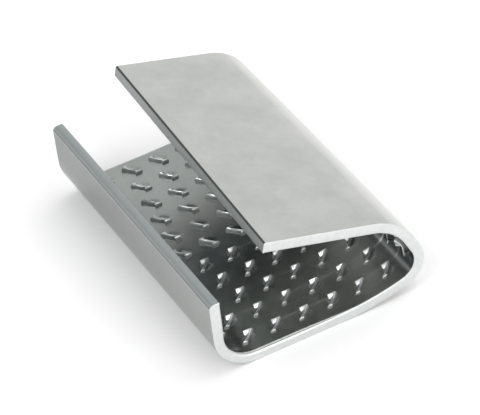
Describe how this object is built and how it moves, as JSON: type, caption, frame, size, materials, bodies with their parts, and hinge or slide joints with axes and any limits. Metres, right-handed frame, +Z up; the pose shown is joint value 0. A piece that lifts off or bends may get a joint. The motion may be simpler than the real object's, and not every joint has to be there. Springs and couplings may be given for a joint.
{
  "type": "pet strapping seal",
  "caption": "Open serrated steel seal for plastic strapping: a strip folded into a channel, with a short leg, a closed nose, a long flap and barbs on its inner face.",
  "frame": {"origin": "middle of the seal's length and width, on the plane that the flat of its base rests on", "axes": "+X across the strap from the short leg to the closed nose, +Y along the strap, +Z up from the base to the flap"},
  "size_m": [0.0192, 0.0286, 0.0111],
  "materials": {
    "zinc_steel": "satin zinc plate on cold-rolled steel strip"
  },
  "bodies": {
    "root": {"strap_seal": "zinc_steel"}
  },
  "joints": []
}
